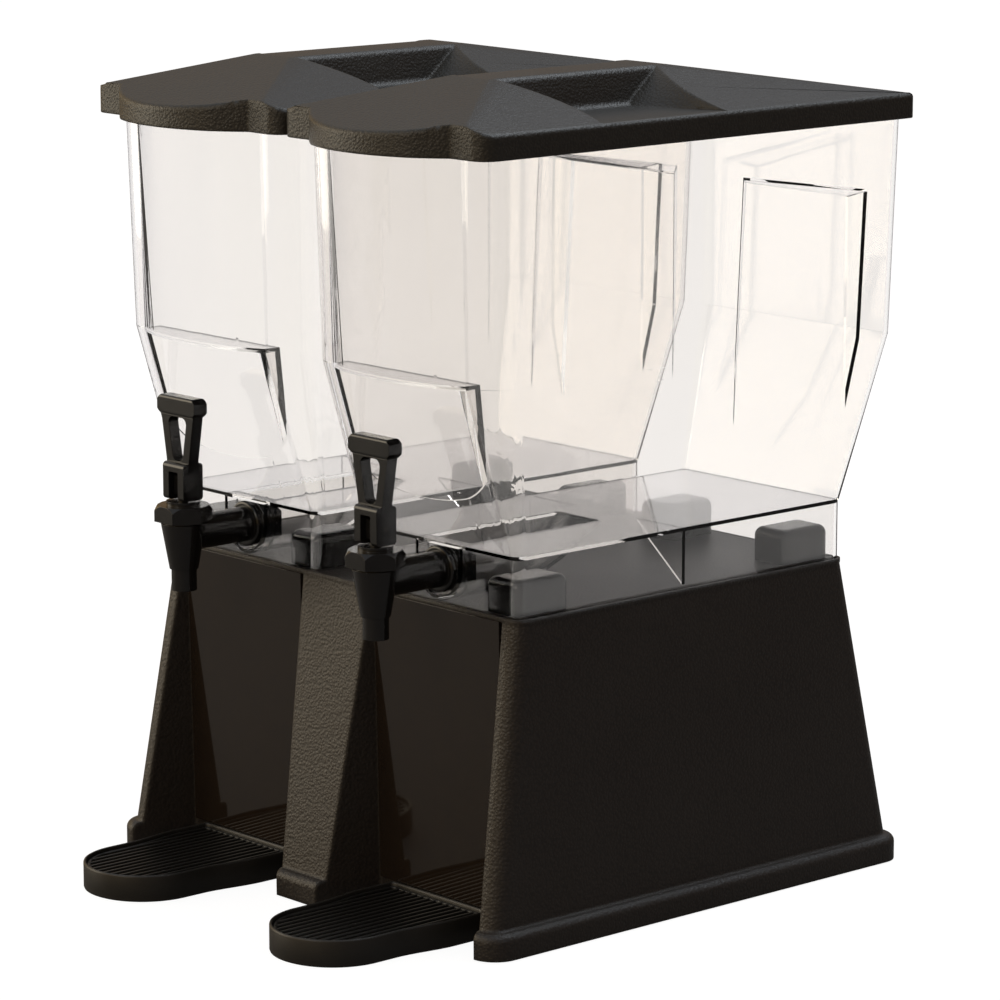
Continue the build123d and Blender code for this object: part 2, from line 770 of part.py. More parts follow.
unit_pieces = {
    "reservoir": make_reservoir(),
    "lid": make_lid(),
    "drip_tray": make_tray(),
    "drip_grid": make_grid(),
    "faucet_body": make_faucet_body(),
    "faucet_bonnet": make_bonnet(),
    "valve_stem": make_stem(),
    "seat_cup": make_cup(),
    "return_spring": make_spring(),
    "faucet_handle": make_handle(),
    "handle_pin": make_pin(),
    "outer_gasket": ring(sump_front_wall - gasket_thickness, gasket_thickness,
                         gasket_radius, thread_radius),
    "inner_gasket": ring(sump_front_wall + wall, inner_gasket_thickness,
                         gasket_radius, thread_radius),
    "shank_nut": make_inner_nut(),
    "locating_blocks": make_blocks(),
    "recess_panel": make_panel(),
}
nodes["base_shell"] = make_base()
nodes["base_feet"] = make_feet()
for side_name, side in (("left", -1), ("right", 1)):
    for piece_name, piece in unit_pieces.items():
        nodes[f"{piece_name}_{side_name}"] = Pos(side * unit_middle, 0, 0) * piece

for node_name, shape in nodes.items():
    placed = Pos(0, base_shift, 0) * shape
    placed.label = node_name
    export_step(placed, f"parts/{node_name}.step")
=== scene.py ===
import json
import math

import bmesh
import bpy
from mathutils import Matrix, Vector


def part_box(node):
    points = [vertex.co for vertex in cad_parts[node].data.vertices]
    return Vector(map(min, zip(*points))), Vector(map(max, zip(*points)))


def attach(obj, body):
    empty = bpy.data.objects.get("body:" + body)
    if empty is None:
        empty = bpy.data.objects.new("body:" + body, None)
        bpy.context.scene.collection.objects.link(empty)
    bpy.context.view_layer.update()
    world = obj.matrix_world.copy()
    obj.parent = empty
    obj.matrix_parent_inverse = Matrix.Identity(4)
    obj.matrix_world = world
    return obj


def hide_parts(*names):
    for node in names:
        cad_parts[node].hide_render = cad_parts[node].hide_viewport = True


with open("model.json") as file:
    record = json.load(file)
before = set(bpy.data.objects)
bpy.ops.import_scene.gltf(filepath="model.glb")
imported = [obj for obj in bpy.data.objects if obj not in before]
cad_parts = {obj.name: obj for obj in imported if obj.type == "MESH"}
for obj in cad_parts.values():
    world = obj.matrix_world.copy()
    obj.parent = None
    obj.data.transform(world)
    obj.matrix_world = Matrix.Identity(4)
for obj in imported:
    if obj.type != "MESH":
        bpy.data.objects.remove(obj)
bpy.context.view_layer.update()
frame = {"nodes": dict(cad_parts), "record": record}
nodes = frame["nodes"]
sides = ("left", "right")
mm = 0.001
print("frame loaded:", len(nodes), "parts")


class Graph:
    # Short way to write a node tree: add nodes, join sockets, set values.
    def __init__(self, tree):
        self.tree = tree

    def add(self, kind, values=None, **settings):
        node = self.tree.nodes.new(kind)
        for name, value in settings.items():
            setattr(node, name, value)
        for key, value in (values or {}).items():
            if isinstance(value, bpy.types.NodeSocket):
                self.tree.links.new(value, node.inputs[key])
            else:
                node.inputs[key].default_value = value
        return node

    def math(self, operation, a, b=0.0, c=None):
        values = {0: a, 1: b}
        if c is not None:
            values[2] = c
        return self.add("ShaderNodeMath", values, operation=operation).outputs[0]

    def vector(self, x=0.0, y=0.0, z=0.0):
        return self.add("ShaderNodeCombineXYZ", {0: x, 1: y, 2: z}).outputs[0]

    def ramp(self, value, low, high, start=0.0, end=1.0):
        values = {0: value, 1: low, 2: high, 3: start, 4: end}
        return self.add("ShaderNodeMapRange", values).outputs[0]

    def mix(self, share, first, second):
        node = self.add("ShaderNodeMix", data_type="RGBA")
        for key, value in ((0, share), (6, first), (7, second)):
            if isinstance(value, bpy.types.NodeSocket):
                self.tree.links.new(value, node.inputs[key])
            else:
                node.inputs[key].default_value = value if key == 0 else (*value, 1.0)
        return node.outputs[2]


def newGroup(name, kind, inputs, outputs):
    tree = bpy.data.node_groups.new(name, kind)
    for label, socket, value in inputs:
        item = tree.interface.new_socket(label, in_out="INPUT", socket_type=socket)
        if value is not None:
            item.default_value = value
    for label, socket in outputs:
        tree.interface.new_socket(label, in_out="OUTPUT", socket_type=socket)
    graph = Graph(tree)
    return tree, graph, graph.add("NodeGroupInput").outputs, graph.add("NodeGroupOutput").inputs


# Pebble grain of a moulded skin: height for the bump, a mask of its pits.
def grainGroup():
    floats = [("Size", "NodeSocketFloat", 1.0), ("Unevenness", "NodeSocketFloat", 0.3)]
    tree, g, given, out = newGroup("mouldedGrain", "ShaderNodeTree", floats,
                                   [("Height", "NodeSocketFloat"), ("Pits", "NodeSocketFloat")])
    place = g.add("ShaderNodeTexCoord").outputs["Object"]
    fine = g.math("DIVIDE", 1.0 / mm, given["Size"])
    cells = g.add("ShaderNodeTexVoronoi", {"Vector": place, "Scale": fine}, feature="SMOOTH_F1")
    cells.inputs["Smoothness"].default_value = 0.6
    swell = g.add("ShaderNodeTexNoise", {"Vector": place, "Scale": g.math("MULTIPLY", fine, 0.45),
                                         "Detail": 3.0, "Roughness": 0.55}).outputs["Fac"]
    pebble = g.ramp(cells.outputs["Distance"], 0.05, 0.75, 1.0, 0.0)
    height = g.math("ADD", pebble, g.math("MULTIPLY", swell, given["Unevenness"]))
    g.tree.links.new(height, out["Height"])
    g.tree.links.new(g.ramp(pebble, 0.55, 0.1), out["Pits"])
    return tree


# Worn edges with painted sheen: a mask that is 1 on sharp convex edges and fades on the flats.
# It lightens the edges both as real rubbing and as a painted highlight along the rounded edges.
def edgeGroup():
    tree, g, given, out = newGroup("wornEdgesAndSheen", "ShaderNodeTree",
                                   [("Width", "NodeSocketFloat", 1.5 * mm),
                                    ("Breakup", "NodeSocketFloat", 0.4)],
                                   [("Mask", "NodeSocketFloat"), ("Rounded", "NodeSocketVector")])
    soft = g.add("ShaderNodeBevel", {"Radius": given["Width"]}, samples=4).outputs[0]
    flat = g.add("ShaderNodeNewGeometry").outputs["True Normal"]
    turn = g.add("ShaderNodeVectorMath", {0: soft, 1: flat}, operation="DOT_PRODUCT").outputs["Value"]
    place = g.add("ShaderNodeTexCoord").outputs["Object"]
    spots = g.add("ShaderNodeTexNoise", {"Vector": place, "Scale": 140.0, "Detail": 4.0}).outputs["Fac"]
    edge = g.ramp(turn, 0.995, 0.9)
    loss = g.math("MULTIPLY", g.ramp(spots, 0.35, 0.65), given["Breakup"])
    g.tree.links.new(g.math("MULTIPLY", edge, g.math("SUBTRACT", 1.0, loss)), out["Mask"])
    g.tree.links.new(soft, out["Rounded"])
    return tree


# Handling marks: broad smudges and fine dust that lies on faces that look up.
def dustGroup():
    tree, g, given, out = newGroup("smudgesAndDust", "ShaderNodeTree",
                                   [("Smudge Size", "NodeSocketFloat", 60 * mm)],
                                   [("Smudge", "NodeSocketFloat"), ("Dust", "NodeSocketFloat")])
    place = g.add("ShaderNodeTexCoord").outputs["Object"]
    broad = g.math("DIVIDE", 1.0, given["Smudge Size"])
    smudge = g.add("ShaderNodeTexNoise", {"Vector": place, "Scale": broad, "Detail": 5.0,
                                          "Roughness": 0.6, "Distortion": 0.4}).outputs["Fac"]
    specks = g.add("ShaderNodeTexNoise", {"Vector": place, "Scale": 900.0, "Detail": 2.0}).outputs["Fac"]
    normal = g.add("ShaderNodeNewGeometry").outputs["Normal"]
    up = g.add("ShaderNodeSeparateXYZ", {0: normal}).outputs["Z"]
    lying = g.math("MULTIPLY", g.ramp(up, 0.3, 0.95), g.ramp(specks, 0.6, 0.75))
    g.tree.links.new(g.ramp(smudge, 0.3, 0.7), out["Smudge"])
    g.tree.links.new(lying, out["Dust"])
    return tree


grain = grainGroup()
edges = edgeGroup()
dust = dustGroup()


def newMaterial(name):
    material = bpy.data.materials.new(name)
    material.use_nodes = True
    shader = material.node_tree.nodes["Principled BSDF"]
    return material, Graph(material.node_tree), shader


def setShader(shader, values):
    for name, value in values.items():
        shader.inputs[name].default_value = value


# Black-brown moulded plastic with a grained or polished skin.
def plasticMaterial(name, look):
    material, g, shader = newMaterial(name)
    links = g.tree.links
    setShader(shader, {"IOR": look.get("ior", 1.46), "Specular IOR Level": look.get("specular", 0.45)})
    grained = g.add("ShaderNodeGroup", node_tree=grain)
    grained.inputs["Size"].default_value = look["grain"]
    grained.inputs["Unevenness"].default_value = look["unevenness"]
    wornAndSheen = g.add("ShaderNodeGroup", node_tree=edges)
    wornAndSheen.inputs["Width"].default_value = look["edgeWidth"] * mm
    marks = g.add("ShaderNodeGroup", node_tree=dust)
    marks.inputs["Smudge Size"].default_value = look["smudge"] * mm
    pitted = g.mix(g.math("MULTIPLY", grained.outputs["Pits"], 0.6), look["colour"], look["pitColour"])
    mottled = g.mix(g.math("MULTIPLY", marks.outputs["Smudge"], look["mottle"]), pitted, look["wearAndSheenColour"])
    # painted highlight: convex edges lightened toward the wear colour, partly real rubbing and partly painted
    # sheen
    rubbedAndSheen = g.mix(g.math("MULTIPLY", wornAndSheen.outputs["Mask"], look["wearAndSheen"]), mottled, look["wearAndSheenColour"])
    dusty = g.mix(g.math("MULTIPLY", marks.outputs["Dust"], look["dust"]), rubbedAndSheen, (0.42, 0.4, 0.37))
    links.new(dusty, shader.inputs["Base Color"])
    skin = g.ramp(marks.outputs["Smudge"], 0.0, 1.0, look["rough"], look["rough"] * 1.15)
    smooth = g.math("MULTIPLY", wornAndSheen.outputs["Mask"], -0.25 * look["wearAndSheen"])
    links.new(g.math("ADD", skin, g.math("MULTIPLY", smooth, look["rough"])), shader.inputs["Roughness"])
    bump = g.add("ShaderNodeBump", {"Height": grained.outputs["Height"], "Strength": look["bump"],
                                    "Distance": look["depth"] * mm, "Normal": wornAndSheen.outputs["Rounded"]})
    links.new(bump.outputs[0], shader.inputs["Normal"])
    return material


# The wear colour is the lighter tone of the smudges and of the edges, where it is partly a painted highlight.
plasticLooks = {
    "baseSkin": {"colour": (0.0148, 0.0108, 0.0082), "pitColour": (0.006, 0.0045, 0.0035),
                 "wearAndSheenColour": (0.045, 0.038, 0.03),
                 "grain": 2.0, "unevenness": 0.6, "edgeWidth": 4.0, "smudge": 90, "mottle": 0.1, "wearAndSheen": 0.5,
                 "dust": 0.03, "rough": 0.42, "bump": 0.85, "depth": 0.28},
    "lidSkin": {"colour": (0.0135, 0.0115, 0.0085), "pitColour": (0.006, 0.005, 0.004),
                "wearAndSheenColour": (0.05, 0.044, 0.034),
                "grain": 1.8, "unevenness": 0.6, "edgeWidth": 3.0, "smudge": 80, "mottle": 0.1, "wearAndSheen": 0.5,
                "dust": 0.04, "rough": 0.4, "bump": 0.85, "depth": 0.26},
    "traySkin": {"colour": (0.011, 0.0095, 0.0075), "pitColour": (0.005, 0.0045, 0.004),
                 "wearAndSheenColour": (0.04, 0.035, 0.028),
                 "grain": 0.7, "unevenness": 0.4, "edgeWidth": 1.2, "smudge": 50, "mottle": 0.1, "wearAndSheen": 0.5,
                 "dust": 0.05, "rough": 0.38, "bump": 0.3, "depth": 0.08},
    "gridSkin": {"colour": (0.008, 0.007, 0.006), "pitColour": (0.004, 0.004, 0.003),
                 "wearAndSheenColour": (0.03, 0.027, 0.022),
                 "grain": 0.6, "unevenness": 0.4, "edgeWidth": 0.8, "smudge": 40, "mottle": 0.1, "wearAndSheen": 0.4,
                 "dust": 0.04, "rough": 0.36, "bump": 0.25, "depth": 0.06},
    "panelSkin": {"colour": (0.012, 0.0078, 0.005), "pitColour": (0.01, 0.0065, 0.0045),
                  "wearAndSheenColour": (0.03, 0.024, 0.018),
                  "grain": 12.0, "unevenness": 0.8, "edgeWidth": 0.8, "smudge": 120, "mottle": 0.05,
                  "wearAndSheen": 0.2, "dust": 0.0, "rough": 0.045, "bump": 0.02, "depth": 0.05, "ior": 1.5},
    "blockSkin": {"colour": (0.006, 0.0055, 0.005), "pitColour": (0.005, 0.0045, 0.004),
                  "wearAndSheenColour": (0.02, 0.018, 0.016),
                  "grain": 12.0, "unevenness": 0.6, "edgeWidth": 2.5, "smudge": 40, "mottle": 0.04,
                  "wearAndSheen": 0.2, "dust": 0.0, "rough": 0.12, "bump": 0.01, "depth": 0.05},
    "faucetSkin": {"colour": (0.0055, 0.005, 0.0048), "pitColour": (0.0045, 0.004, 0.004),
                   "wearAndSheenColour": (0.03, 0.028, 0.026),
                   "grain": 3.0, "unevenness": 0.6, "edgeWidth": 0.6, "smudge": 25, "mottle": 0.1,
                   "wearAndSheen": 0.3, "dust": 0.02, "rough": 0.16, "bump": 0.05, "depth": 0.04},
    "rubberSkin": {"colour": (0.012, 0.012, 0.012), "pitColour": (0.008, 0.008, 0.008),
                   "wearAndSheenColour": (0.04, 0.04, 0.04),
                   "grain": 0.8, "unevenness": 0.5, "edgeWidth": 0.8, "smudge": 20, "mottle": 0.2,
                   "wearAndSheen": 0.4, "dust": 0.1, "rough": 0.75, "bump": 0.3, "depth": 0.05},
    "seatSkin": {"colour": (0.62, 0.6, 0.55), "pitColour": (0.55, 0.53, 0.48),
                 "wearAndSheenColour": (0.7, 0.69, 0.65),
                 "grain": 1.5, "unevenness": 0.5, "edgeWidth": 0.5, "smudge": 15, "mottle": 0.2, "wearAndSheen": 0.3,
                 "dust": 0.0, "rough": 0.5, "bump": 0.1, "depth": 0.03},
}


# Drawn or ground steel with fine streaks.
def steelMaterial(name, look):
    material, g, shader = newMaterial(name)
    setShader(shader, {"Metallic": 1.0, "Base Color": (*look["colour"], 1.0)})
    place = g.add("ShaderNodeTexCoord").outputs["Object"]
    stretch = g.add("ShaderNodeMapping", {"Vector": place, "Scale": look["stretch"]}).outputs[0]
    streaks = g.add("ShaderNodeTexNoise", {"Vector": stretch, "Scale": look["scale"],
                                           "Detail": 6.0}).outputs["Fac"]
    g.tree.links.new(g.ramp(streaks, 0.3, 0.7, look["rough"] * 0.7, look["rough"] * 1.3),
                     shader.inputs["Roughness"])
    g.tree.links.new(g.mix(streaks, look["colour"], look["shade"]), shader.inputs["Base Color"])
    bump = g.add("ShaderNodeBump", {"Height": streaks, "Strength": 0.1, "Distance": 0.02 * mm})
    g.tree.links.new(bump.outputs[0], shader.inputs["Normal"])
    return material


steelLooks = {
    "springWire": {"colour": (0.6, 0.59, 0.56), "shade": (0.42, 0.41, 0.39), "stretch": (1, 1, 6),
                   "scale": 900.0, "rough": 0.28},
    "pinRod": {"colour": (0.06, 0.056, 0.052), "shade": (0.045, 0.042, 0.04), "stretch": (1, 8, 8),
               "scale": 500.0, "rough": 0.22},
}


# Clear moulded plastic of the reservoirs, with handling haze, faint mould flow and a painted bluish grazing
# tint.
clearLook = {"tint": (0.938, 0.921, 0.897), "hazeTint": (0.905, 0.888, 0.862),
             "paintedGrazingTint": (0.86, 0.86, 0.96), "ior": 1.5,
             "rough": 0.012, "hazeRough": 0.05}


def clearMaterial(name, look):
    material, g, shader = newMaterial(name)
    setShader(shader, {"Transmission Weight": 1.0, "IOR": look["ior"]})
    marks = g.add("ShaderNodeGroup", node_tree=dust)
    marks.inputs["Smudge Size"].default_value = 110 * mm
    body = g.mix(g.math("MULTIPLY", marks.outputs["Smudge"], 0.3), look["tint"], look["hazeTint"])
    # painted light: a bluish tint toward grazing angles stands in for dispersion at the edges of the clear
    # walls
    grazing = g.add("ShaderNodeLayerWeight", {"Blend": 0.25}).outputs["Facing"]
    g.tree.links.new(g.mix(g.math("MULTIPLY", grazing, 0.8), body, look["paintedGrazingTint"]),
                     shader.inputs["Base Color"])
    g.tree.links.new(g.ramp(marks.outputs["Smudge"], 0.2, 1.0, look["rough"], look["hazeRough"]),
                     shader.inputs["Roughness"])
    place = g.add("ShaderNodeTexCoord").outputs["Object"]
    flow = g.add("ShaderNodeTexNoise", {"Vector": place, "Scale": 16.0, "Detail": 1.0}).outputs["Fac"]
    bump = g.add("ShaderNodeBump", {"Height": flow, "Strength": 0.12, "Distance": 1.2 * mm})
    g.tree.links.new(bump.outputs[0], shader.inputs["Normal"])
    return material


finishes = {name: plasticMaterial(name, look) for name, look in plasticLooks.items()}
finishes.update({name: steelMaterial(name, look) for name, look in steelLooks.items()})
finishes["clearSkin"] = clearMaterial("clearSkin", clearLook)
print("finishes mixed:", len(finishes))

finishOf = {
    "base_shell": "baseSkin", "base_feet": "rubberSkin", "reservoir": "clearSkin", "lid": "lidSkin",
    "drip_tray": "traySkin", "drip_grid": "gridSkin", "faucet_body": "faucetSkin",
    "faucet_bonnet": "faucetSkin", "valve_stem": "faucetSkin", "seat_cup": "seatSkin",
    "return_spring": "springWire", "faucet_handle": "faucetSkin", "handle_pin": "pinRod",
    "outer_gasket": "rubberSkin", "inner_gasket": "rubberSkin", "shank_nut": "faucetSkin",
    "locating_blocks": "blockSkin", "recess_panel": "panelSkin",
}
for nodeName, part in nodes.items():
    kind = nodeName.removesuffix("_left").removesuffix("_right")
    for place in part.material_slots:
        place.material = finishes[finishOf[kind]]


def bodyOf(nodeName):
    bodies = frame["record"]["behaviour"]["bodies"]
    return next(name for name, members in bodies.items() if nodeName in members)


def standIn(piece, nodeName):
    # piece shows instead of the CAD node and moves with its body.
    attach(piece, bodyOf(nodeName))
    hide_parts(nodeName)


# Moulded pieces get rounded edges: a merged copy of the CAD shape, bevelled by a rule that gives
# each edge its radius in mm. The base is clamped, so no corner runs out past the plinth.
softening = {
    "lid": {"rim": 2.6, "hip": 1.4, "foot": 0.7, "steps": 4, "clamped": False,
            "rimAbove": 14 * mm, "wallMiddleBelow": 13 * mm, "hipAbove": 17 * mm, "hipRise": 8 * mm,
            "hipLength": 15 * mm},
    "base": {"all": 2.2, "steps": 3, "clamped": True},
}
meshCare = {"merge": 0.01 * mm, "flat": math.radians(0.5), "shortest": 0.02 * mm, "sharpFrom": 28.0,
            "bevelFrom": 16.0}


def softCopy(nodeName, radiusOf, look):
    source = nodes[nodeName]
    mesh = source.data.copy()
    piece = bpy.data.objects.new(f"{nodeName}_moulding", mesh)
    bpy.context.collection.objects.link(piece)
    work = bmesh.new()
    work.from_mesh(mesh)
    bmesh.ops.remove_doubles(work, verts=work.verts, dist=meshCare["merge"])
    bmesh.ops.dissolve_limit(work, angle_limit=meshCare["flat"], verts=work.verts, edges=work.edges)
    bmesh.ops.dissolve_degenerate(work, edges=work.edges, dist=meshCare["shortest"])
    weights = work.edges.layers.float.new("bevel_weight_edge")
    radii = {}
    for edge in work.edges:
        if len(edge.link_faces) != 2:
            continue
        angle = math.degrees(edge.calc_face_angle(0))
        radius = radiusOf(edge) if angle > meshCare["bevelFrom"] else 0
        if radius:
            radii[edge] = radius
        elif angle > meshCare["sharpFrom"]:
            edge.smooth = False
    widest = max(radii.values())
    for edge, radius in radii.items():
        edge[weights] = radius / widest
    for face in work.faces:
        face.smooth = True
    work.to_mesh(mesh)
    work.free()
    if "custom_normal" in mesh.attributes:
        mesh.attributes.remove(mesh.attributes["custom_normal"])
    bevel = piece.modifiers.new("roundEdges", "BEVEL")
    bevel.width = widest * mm
    bevel.segments = look["steps"]
    bevel.limit_method = "WEIGHT"
    bevel.use_clamp_overlap = look["clamped"]
    bevel.harden_normals = True
    bevel.miter_outer = "MITER_ARC"
    return piece


def near(value, goal, slack=0.4 * mm):
    return abs(value - goal) < slack


def lidEdge(edge):
    # Rim where the roof meets the outer wall, and the hips between two roof planes.
    look = softening["lid"]
    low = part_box("lid_left")[0]
    heights = [vert.co.z for vert in edge.verts]
    slopes = sorted(face.normal.z for face in edge.link_faces)
    if near(heights[0], low.z) and near(heights[1], low.z):
        return look["foot"]
    if min(heights) > low.z + look["rimAbove"] and abs(slopes[0]) < 0.1 and slopes[1] > 0.3:
        outer = min(face.calc_center_median().z for face in edge.link_faces) < low.z + look["wallMiddleBelow"]
        return look["rim"] if outer else 0
    steep = max(heights) - min(heights) > look["hipRise"] and edge.calc_length() > look["hipLength"]
    if steep and slopes[0] > 0.5 and min(heights) > low.z + look["hipAbove"]:
        return look["hip"]
    return 0


def baseEdge(edge):
    return softening["base"]["all"]


moulded = {"base_shell": (baseEdge, softening["base"])}
for side in sides:
    moulded[f"lid_{side}"] = (lidEdge, softening["lid"])
for nodeName, (rule, look) in moulded.items():
    standIn(softCopy(nodeName, rule, look), nodeName)
print("mouldings rounded:", len(moulded))


def finishNodes(g, out, geometry, material):
    real = g.add("GeometryNodeRealizeInstances", {0: geometry}).outputs[0]
    dressed = g.add("GeometryNodeSetMaterial", {"Geometry": real, "Material": material}).outputs[0]
    g.tree.links.new(dressed, out["Geometry"])


def makeByNodes(name, tree, values, finish):
    # Runs a geometry tree once and keeps the result as a plain mesh.
    shell = bpy.data.objects.new(name + "_maker", bpy.data.meshes.new(name + "_maker"))
    bpy.context.collection.objects.link(shell)
    maker = shell.modifiers.new("maker", "NODES")
    maker.node_group = tree
    for item in tree.interface.items_tree:
        if item.item_type == "SOCKET" and item.in_out == "INPUT" and item.socket_type != "NodeSocketGeometry":
            asksFinish = item.socket_type == "NodeSocketMaterial"
            maker[item.identifier] = finishes[finish] if asksFinish else values[item.name]
    seen = shell.evaluated_get(bpy.context.evaluated_depsgraph_get())
    mesh = bpy.data.meshes.new_from_object(seen)
    mesh.name = name
    bpy.data.objects.remove(shell)
    piece = bpy.data.objects.new(name, mesh)
    bpy.context.collection.objects.link(piece)
    return piece


floatSocket = "NodeSocketFloat"
trayInputs = [("Centre", floatSocket, 0.0), ("Nose", floatSocket, -0.257), ("Rear", floatSocket, -0.113),
              ("Half Width", floatSocket, 0.046), ("Rear Half Width", floatSocket, 0.052),
              ("Flare Start", floatSocket, 0.0645), ("Flare End", floatSocket, 0.114)]


def outlineGroup():
    # Plan of the tray: round nose, straight sides, gentle flare, straight rear. Round is 0 to 1 along it.
    tree, g, given, out = newGroup("trayOutline", "GeometryNodeTree",
                                   [("Round", floatSocket, 0.0), ("Inset", floatSocket, 0.0)] + trayInputs,
                                   [("Position", "NodeSocketVector")])
    share, inset = given["Round"], given["Inset"]
    half = g.math("SUBTRACT", given["Half Width"], inset)
    rear = g.math("SUBTRACT", given["Rear"], inset)
    start = g.math("ADD", given["Nose"], given["Half Width"])
    turn = g.ramp(share, 0.0, 0.4, math.pi, 2 * math.pi)
    noseX = g.math("MULTIPLY", half, g.math("COSINE", turn))
    noseY = g.math("ADD", start, g.math("MULTIPLY", half, g.math("SINE", turn)))
    outward = g.math("MINIMUM", g.ramp(share, 0.4, 0.65), g.ramp(share, 1.0, 0.75))
    sideY = g.math("ADD", start, g.math("MULTIPLY", outward, g.math("SUBTRACT", rear, start)))
    fromNose = g.math("SUBTRACT", sideY, given["Nose"])
    flare = g.add("ShaderNodeMapRange", {0: fromNose, 1: given["Flare Start"], 2: given["Flare End"]},
                  interpolation_type="SMOOTHSTEP").outputs[0]
    widening = g.math("MULTIPLY", flare, g.math("SUBTRACT", given["Rear Half Width"], given["Half Width"]))
    crossing = g.ramp(share, 0.65, 0.75, 1.0, -1.0)
    sideX = g.math("MULTIPLY", g.math("ADD", half, widening), crossing)
    onNose = g.math("LESS_THAN", share, 0.4)
    offNose = g.math("SUBTRACT", 1.0, onNose)
    x = g.math("ADD", g.math("MULTIPLY", onNose, noseX), g.math("MULTIPLY", offNose, sideX))
    y = g.math("ADD", g.math("MULTIPLY", onNose, noseY), g.math("MULTIPLY", offNose, sideY))
    g.tree.links.new(g.vector(g.math("ADD", x, given["Centre"]), y, 0.0), out["Position"])
    return tree


trayOutline = outlineGroup()


def outlineAt(g, given, share, inset):
    plan = g.add("GeometryNodeGroup", node_tree=trayOutline)
    for name, *_ in trayInputs:
        g.tree.links.new(given[name], plan.inputs[name])
    g.tree.links.new(share, plan.inputs["Round"])
    if isinstance(inset, bpy.types.NodeSocket):
        g.tree.links.new(inset, plan.inputs["Inset"])
    else:
        plan.inputs["Inset"].default_value = inset
    return plan.outputs[0]


# Wall of the tray from the middle of its underside, over the rim, to the middle of its floor:
# how far in from the outline, how high, and 1 where the station is drawn to the middle.
traySection = [(1.4, 0.0, 1), (1.4, 0.0, 0), (0.4, 0.4, 0), (0.0, 1.4, 0), (0.0, 10.0, 0), (0.0, 18.7, 0),
               (0.25, 19.55, 0), (1.1, 20.0, 0), (1.95, 19.6, 0), (2.2, 18.7, 0), (2.2, 4.2, 0),
               (2.7, 2.8, 0),
               (4.0, 2.2, 0), (4.0, 2.2, 1)]


def trayTree():
    tree, g, given, out = newGroup("dripTray", "GeometryNodeTree",
                                   trayInputs + [("Points Round", "NodeSocketInt", 160),
                                                 ("Finish", "NodeSocketMaterial", None)],
                                   [("Geometry", "NodeSocketGeometry")])
    stations = len(traySection)
    round1 = g.math("ADD", given["Points Round"], 1)
    sheet = g.add("GeometryNodeMeshGrid", {"Vertices X": round1, "Vertices Y": stations}).outputs["Mesh"]
    index = g.add("GeometryNodeInputIndex").outputs[0]
    column = g.math("FLOOR", g.math("DIVIDE", g.math("ADD", index, 0.5), stations))
    row = g.math("SUBTRACT", index, g.math("MULTIPLY", column, stations))

    def station(which, scale):
        total = 0.0
        for number, values in enumerate(traySection):
            here = g.math("COMPARE", row, number, 0.5)
            total = g.math("MULTIPLY_ADD", here, values[which] * scale, total)
        return total

    plan = outlineAt(g, given, g.math("DIVIDE", column, given["Points Round"]), station(0, mm))
    middleY = g.math("MULTIPLY", g.math("ADD", given["Nose"], given["Rear"]), 0.5)
    middle = g.vector(given["Centre"], middleY, 0.0)
    drawn = g.add("ShaderNodeMix", {0: station(2, 1.0), 4: plan, 5: middle}, data_type="VECTOR").outputs[1]
    placed = g.add("ShaderNodeVectorMath", {0: drawn, 1: g.vector(0.0, 0.0, station(1, mm))},
                   operation="ADD").outputs[0]
    shaped = g.add("GeometryNodeSetPosition", {"Geometry": sheet, "Position": placed}).outputs[0]
    closed = g.add("GeometryNodeMergeByDistance", {"Geometry": shaped, "Distance": 0.01 * mm}).outputs[0]
    smooth = g.add("GeometryNodeSetShadeSmooth", {"Geometry": closed}).outputs[0]
    finishNodes(g, out, smooth, given["Finish"])
    return tree


def roundedBar(g, width, depth, radius):
    section = g.add("GeometryNodeCurvePrimitiveQuadrilateral", {"Width": width, "Height": depth}).outputs[0]
    return g.add("GeometryNodeFilletCurve", {"Curve": section, "Radius": radius, "Count": 2},
                 mode="POLY").outputs[0]


